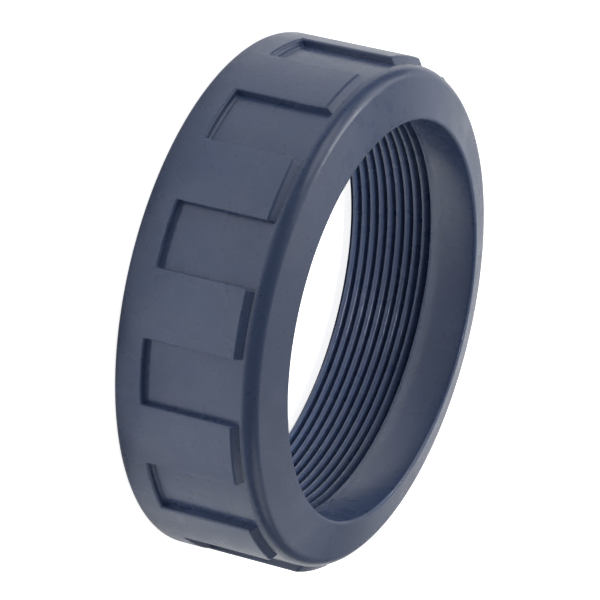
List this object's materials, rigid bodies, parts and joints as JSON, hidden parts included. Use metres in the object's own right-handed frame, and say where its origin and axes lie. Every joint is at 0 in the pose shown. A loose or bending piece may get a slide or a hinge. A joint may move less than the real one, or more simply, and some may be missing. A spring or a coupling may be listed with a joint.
{
  "type": "union nut",
  "caption": "Moulded plastic union nut: a broad ring with grip pockets round its rim, a sloped front face, a plain front bore and a threaded bore open to the back.",
  "frame": {"origin": "centre of the flat back end, on the nut's axis", "axes": "+Z along the nut's axis from the back end to the front opening, +X through the middle of a grip pocket"},
  "size_m": [0.121, 0.121, 0.0366],
  "materials": {
    "body": "satin moulded plastic"
  },
  "bodies": {
    "root": {"union_nut": "body"}
  },
  "joints": []
}
